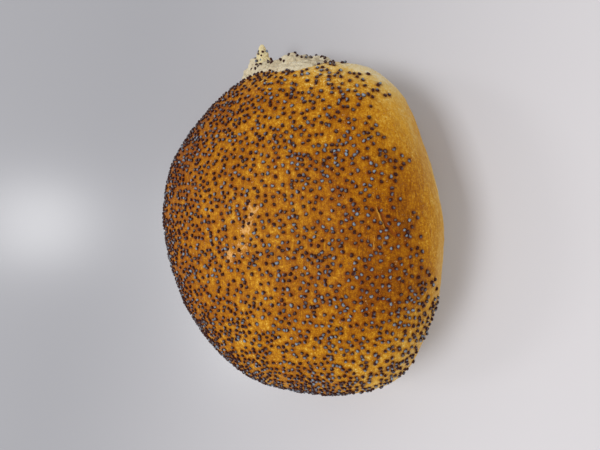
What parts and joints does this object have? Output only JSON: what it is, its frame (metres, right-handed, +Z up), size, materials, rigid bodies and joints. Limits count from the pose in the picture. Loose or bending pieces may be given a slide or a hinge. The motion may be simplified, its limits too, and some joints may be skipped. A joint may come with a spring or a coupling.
{
  "type": "bread roll",
  "caption": "Soft domed bread roll with a golden poppy-seed crust, an uneven rounded outline, a bare pale shoulder and a torn crumb end with a pointed flap.",
  "frame": {"origin": "under the middle of the roll's outline seen from above, on the surface that it rests on", "axes": "+Z up; +X along the longest way, towards the torn end; -Y is the front, on the bare shoulder's side"},
  "size_m": [0.1108, 0.0894, 0.0447],
  "materials": {
    "crust": "satin",
    "crumb": "matt",
    "dark_seeds": "satin",
    "slate_seeds": "satin"
  },
  "bodies": {
    "root": {"bread_roll": "crust"}
  },
  "joints": []
}
